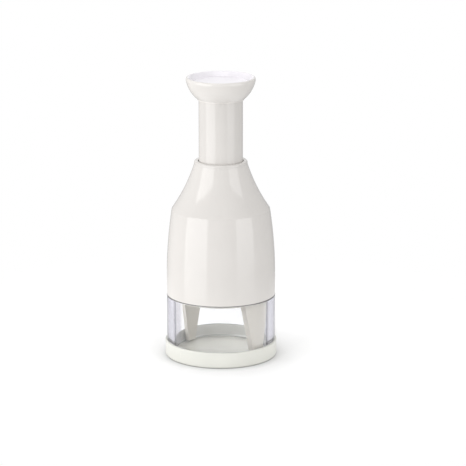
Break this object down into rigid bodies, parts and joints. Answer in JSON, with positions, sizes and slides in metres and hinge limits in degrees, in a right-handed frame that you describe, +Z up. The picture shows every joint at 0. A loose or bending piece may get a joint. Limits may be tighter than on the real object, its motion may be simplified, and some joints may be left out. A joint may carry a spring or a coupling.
{
  "type": "plunger food chopper",
  "caption": "Tall upright hand food chopper: a sprung plunger with a dished knob drives turning zigzag blades down into a clear sleeve over a shallow base cup.",
  "frame": {"origin": "centre of the base cup's underside, on the surface that the chopper stands on", "axes": "+Z up along the plunger; -Y is the front, and the two legs stand at 48.5 degrees from it towards +X and opposite that"},
  "size_m": [0.0888, 0.0888, 0.225],
  "materials": {
    "white_gloss": "smooth moulded gloss, warm white",
    "cream_gloss": "smooth moulded gloss, cream white",
    "cap_plastic": "smooth moulded, cool white",
    "clear_plastic": null,
    "inner_plastic": "satin moulded off-white",
    "bright_steel": "stainless, lightly brushed",
    "spring_steel": "drawn spring wire",
    "bush_bronze": "plain bearing bronze",
    "bumper_rubber": "soft black rubber"
  },
  "bodies": {
    "base": {"base_cup": "cream_gloss"},
    "sleeve": {"clear_sleeve": "clear_plastic"},
    "housing": {"housing": "white_gloss", "leg_cage": "inner_plastic", "cage_screws": "bright_steel", "wiper_retainer": "inner_plastic", "plunger_guide": "inner_plastic", "guide_screws": "bright_steel", "index_crown": "inner_plastic", "rod_bush": "bush_bronze", "spring_seat": "bright_steel"},
    "plunger": {"plunger_tube": "white_gloss", "stop_bumper": "bumper_rubber", "knob": "white_gloss", "knob_cap": "cap_plastic", "plunger_rod": "bright_steel", "rod_end_clip": "bright_steel", "drive_crown": "bright_steel", "knob_nut": "bright_steel", "return_spring": "spring_steel", "spring_washer": "bright_steel"},
    "blades": {"blade_hub": "inner_plastic", "blade_carrier": "inner_plastic", "carrier_screws": "bright_steel", "zigzag_blade_1": "bright_steel", "zigzag_blade_2": "bright_steel", "zigzag_blade_3": "bright_steel"},
    "wiper": {"wiper_disc": "inner_plastic"}
  },
  "joints": [
    {"name": "sleeve_lift", "type": "slide", "parent": "base", "child": "sleeve", "axis": [0, 0, 1], "range_m": [0, 0.03]},
    {"name": "housing_lift", "type": "slide", "parent": "sleeve", "child": "housing", "axis": [0, 0, 1], "range_m": [0, 0.07]},
    {"name": "press", "type": "slide", "parent": "housing", "child": "plunger", "axis": [0, 0, -1], "range_m": [0, 0.0442], "stiffness_N_per_m": 1330, "springref_m": -0.008, "deforming": ["return_spring"]},
    {"name": "blade_turn", "type": "hinge", "parent": "plunger", "child": "blades", "pos_m": [0, 0, 0.1], "axis": [0, 0, 1], "continuous": true},
    {"name": "wiper_turn", "type": "hinge", "parent": "housing", "child": "wiper", "pos_m": [0, 0, 0.0495], "axis": [0, 0, 1], "continuous": true}
  ],
  "couplings": [
    {"joint": "wiper_turn", "follows": "blade_turn", "ratio": 1}
  ]
}
